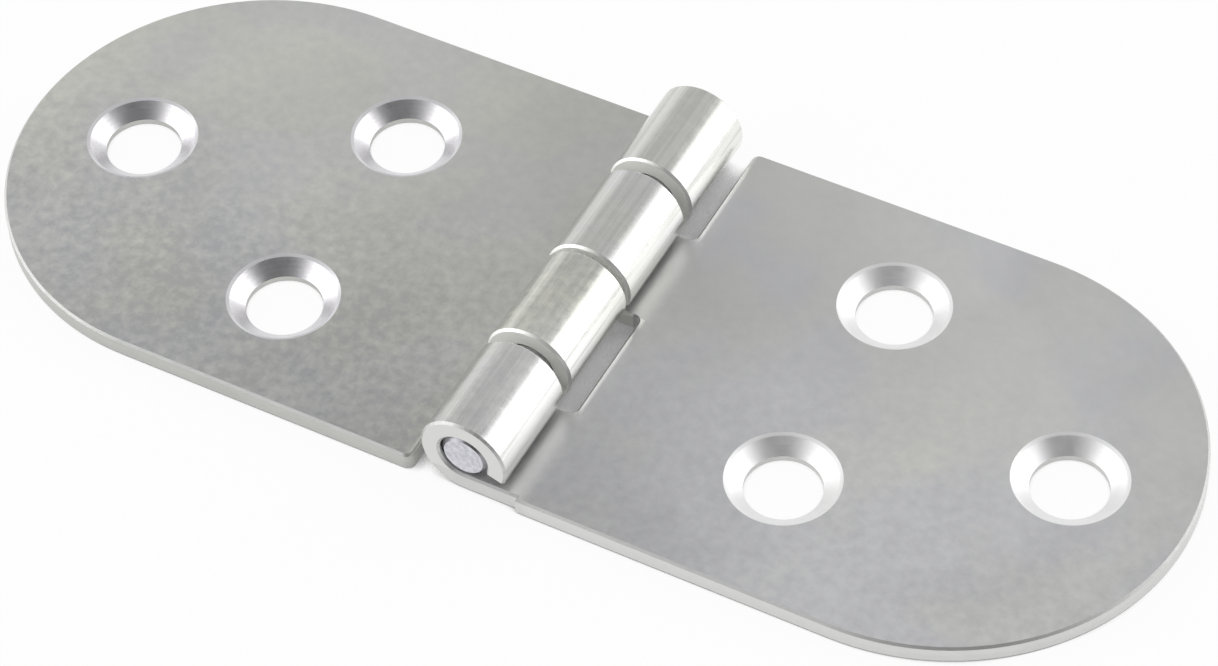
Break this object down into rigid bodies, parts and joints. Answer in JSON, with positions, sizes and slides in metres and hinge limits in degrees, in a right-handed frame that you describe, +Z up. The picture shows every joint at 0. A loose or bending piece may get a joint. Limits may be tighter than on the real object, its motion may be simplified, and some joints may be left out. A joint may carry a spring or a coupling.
{
  "type": "round-ended flap hinge",
  "caption": "Flat hinge of plated sheet steel with half-round leaves, countersunk screw holes and a rolled barrel on a fixed pin.",
  "frame": {"origin": "under the middle of the pin, on the plane that the undersides of both leaves lie on", "axes": "+X along the open hinge from the left leaf to the right leaf, +Y along the pin, +Z up, out of the countersunk faces"},
  "size_m": [0.076, 0.03, 0.0055],
  "materials": {
    "plated_sheet": "bright zinc plating, faintly mottled",
    "pin_steel": "drawn wire, plated"
  },
  "bodies": {
    "left": {"left_leaf": "plated_sheet", "hinge_pin": "pin_steel"},
    "right": {"right_leaf": "plated_sheet"}
  },
  "joints": [
    {"name": "leaf_fold", "type": "hinge", "parent": "left", "child": "right", "pos_m": [0, 0, 0.00275], "axis": [0, -1, 0], "range_deg": [-95, 180]}
  ]
}
